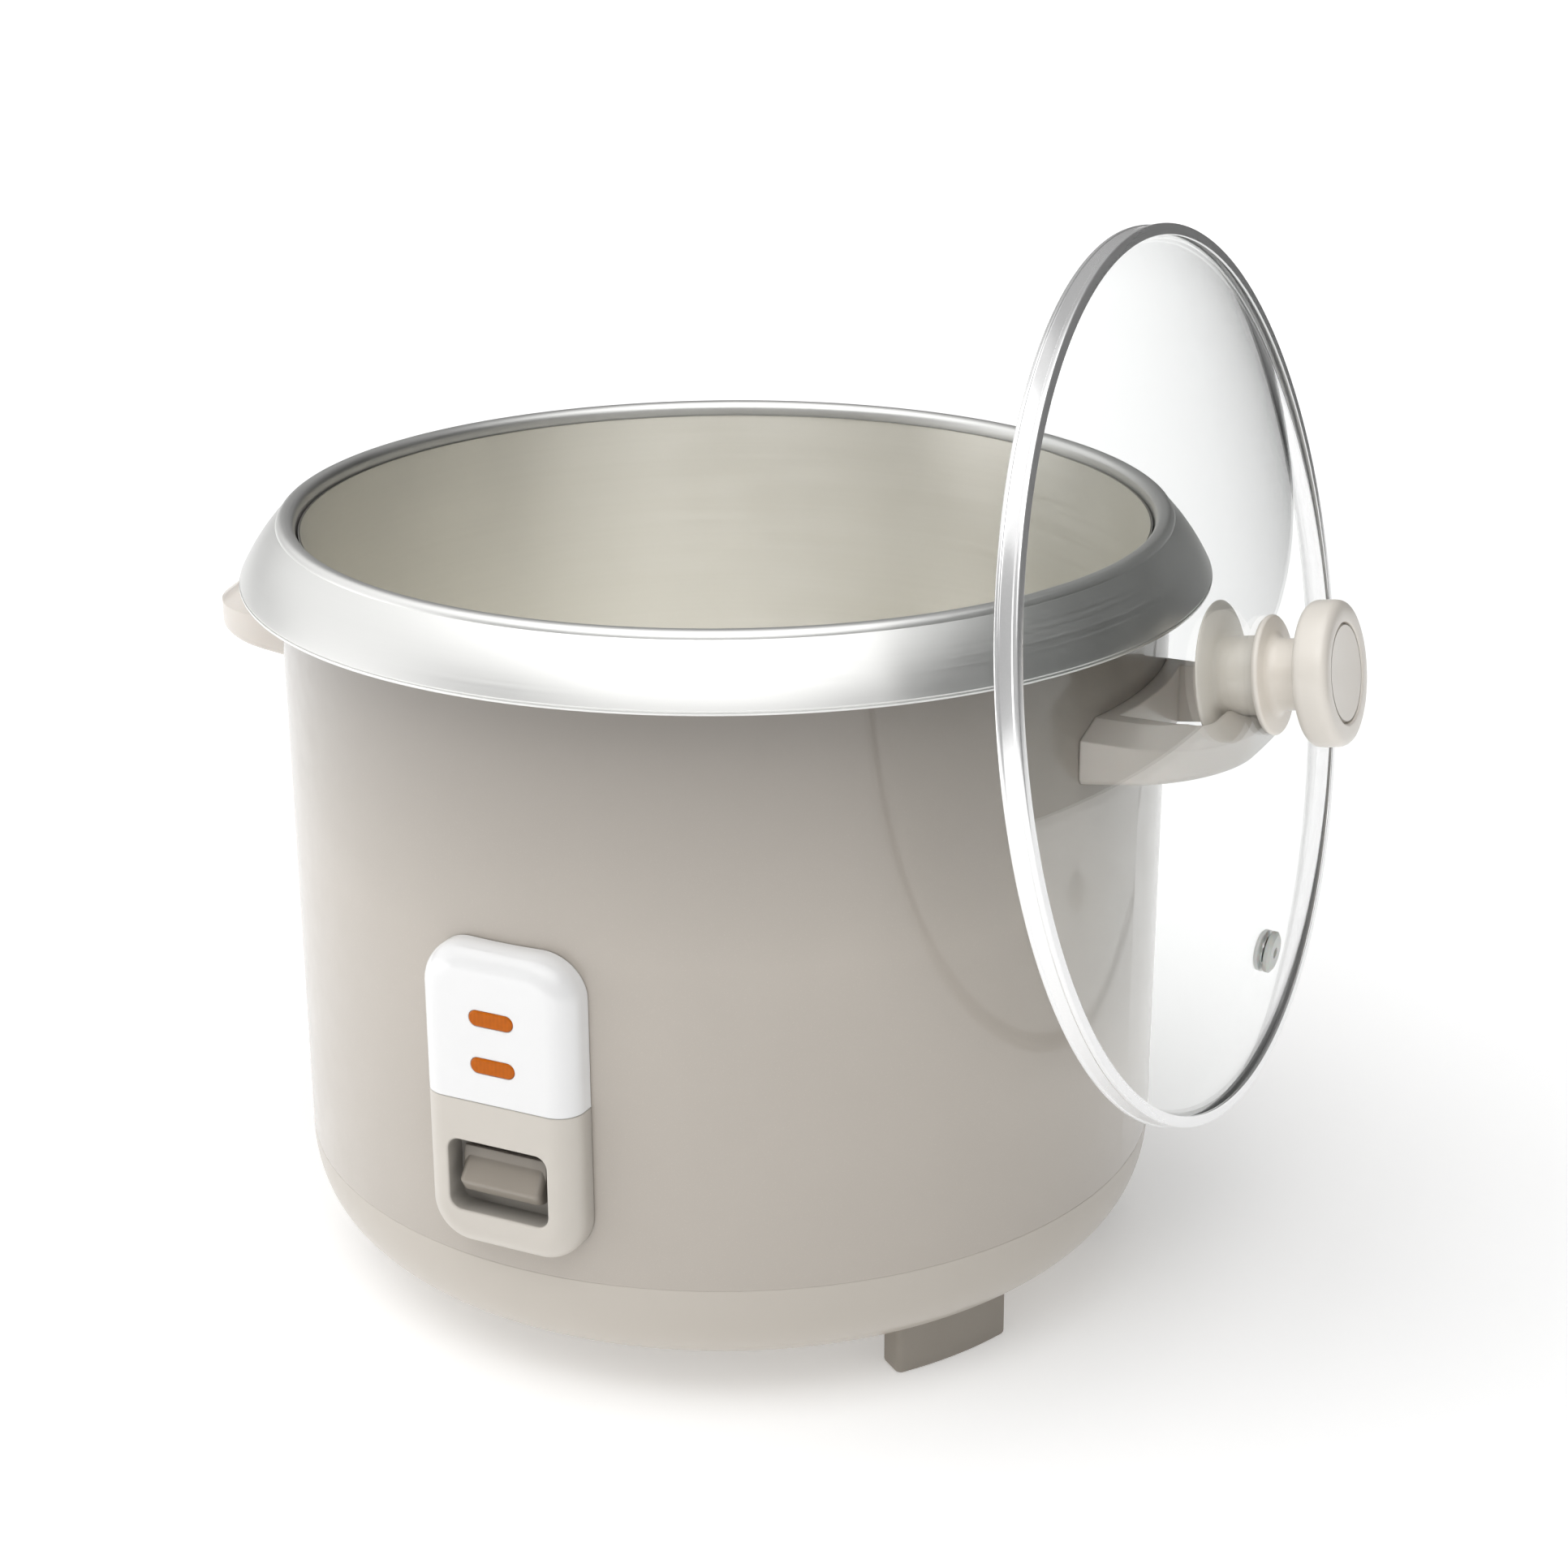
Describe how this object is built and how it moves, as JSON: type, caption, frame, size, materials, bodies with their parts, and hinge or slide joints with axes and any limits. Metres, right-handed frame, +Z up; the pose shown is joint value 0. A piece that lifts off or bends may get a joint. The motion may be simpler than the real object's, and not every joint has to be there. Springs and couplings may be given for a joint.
{
  "type": "rice cooker",
  "caption": "Round drum rice cooker with flared metal top ring, two side handles, front switch panel with cook lever and lamps, removable pot and domed glass lid parked upright on one handle.",
  "frame": {"origin": "on the drum's vertical axis, in the plane the four feet stand on", "axes": "+Z up; -Y towards the user, out of the switch panel; +X through the handle that carries the parked lid"},
  "size_m": [0.3653, 0.285, 0.3231],
  "materials": {
    "body_paint": "gloss",
    "ring_metal": "satin",
    "base_moulding": "satin",
    "foot_moulding": "matte",
    "handle_moulding": "satin",
    "panel_white": "gloss",
    "panel_beige": "gloss",
    "lens_amber": "translucent",
    "pot_aluminium": "anodised matte",
    "bright_steel": "satin",
    "cast_aluminium": "machined",
    "zinc_steel": "zinc plated",
    "ferrite": "sintered",
    "clear_glass": "clear",
    "grommet_clear": "translucent silicone",
    "black_moulding": "matte",
    "board_fibre": "bare laminate",
    "brass_pin": "nickel plated"
  },
  "bodies": {
    "cooker": {"outer_shell": "body_paint", "top_ring": "ring_metal", "base_tray": "base_moulding", "bottom_cover": "zinc_steel", "cover_screws": "zinc_steel", "feet": "foot_moulding", "handle_right": "handle_moulding", "handle_left": "handle_moulding", "handle_screws": "zinc_steel", "inner_liner": "bright_steel", "heating_plate": "cast_aluminium", "heating_element": "bright_steel", "plate_standoffs": "zinc_steel", "plate_screws": "zinc_steel", "sensor_bracket": "zinc_steel", "pivot_bracket": "zinc_steel", "pivot_pin": "bright_steel", "micro_switch": "black_moulding", "panel_upper": "panel_white", "panel_lower": "panel_beige", "lamp_lens_warm": "lens_amber", "lamp_lens_cook": "lens_amber", "indicator_board": "board_fibre", "indicator_bulbs": "lens_amber", "warm_thermostat": "black_moulding", "thermal_fuse": "zinc_steel", "terminal_block": "panel_white", "inlet_socket": "black_moulding", "inlet_pins": "brass_pin"},
    "pot": {"inner_pot": "pot_aluminium"},
    "lid": {"lid_glass": "clear_glass", "lid_rim": "bright_steel", "vent_grommet": "grommet_clear", "hanging_boss": "panel_beige", "knob_stem": "panel_beige", "knob_cap": "panel_beige", "knob_disc": "panel_beige", "knob_screw": "zinc_steel"},
    "lever": {"lever_strip": "zinc_steel", "switch_lever": "panel_beige"},
    "magnet_carrier": {"magnet": "ferrite", "magnet_rod": "zinc_steel"},
    "plunger": {"switch_plunger": "panel_white"},
    "sensor": {"sensor_cap": "cast_aluminium", "sensor_ferrite": "ferrite", "sensor_spring": "bright_steel"}
  },
  "joints": [
    {"name": "lid_lift", "type": "slide", "parent": "cooker", "child": "lid", "axis": [0, 0, 1], "range_m": [0, 0.08]},
    {"name": "pot_lift", "type": "slide", "parent": "cooker", "child": "pot", "axis": [0, 0, 1], "range_m": [0, 0.075]},
    {"name": "cook_switch", "type": "hinge", "parent": "cooker", "child": "lever", "pos_m": [0, -0.062, 0.0355], "axis": [1, 0, 0], "range_deg": [0, 2.6], "stiffness_Nm_per_rad": 0.5, "springref_deg": -5.73},
    {"name": "magnet_rise", "type": "slide", "parent": "cooker", "child": "magnet_carrier", "axis": [0, 0, 1], "range_m": [0, 0.00282]},
    {"name": "plunger_press", "type": "slide", "parent": "cooker", "child": "plunger", "axis": [0, 0, 1], "range_m": [-0.00168, 0]},
    {"name": "sensor_press", "type": "slide", "parent": "cooker", "child": "sensor", "axis": [0, 0, 1], "range_m": [-0.0012, 0], "stiffness_N_per_m": 300, "springref_m": 0.004, "deforming": ["sensor_spring"]}
  ],
  "couplings": [
    {"joint": "magnet_rise", "follows": "cook_switch", "m_per_rad": 0.062},
    {"joint": "plunger_press", "follows": "cook_switch", "m_per_rad": -0.037}
  ]
}
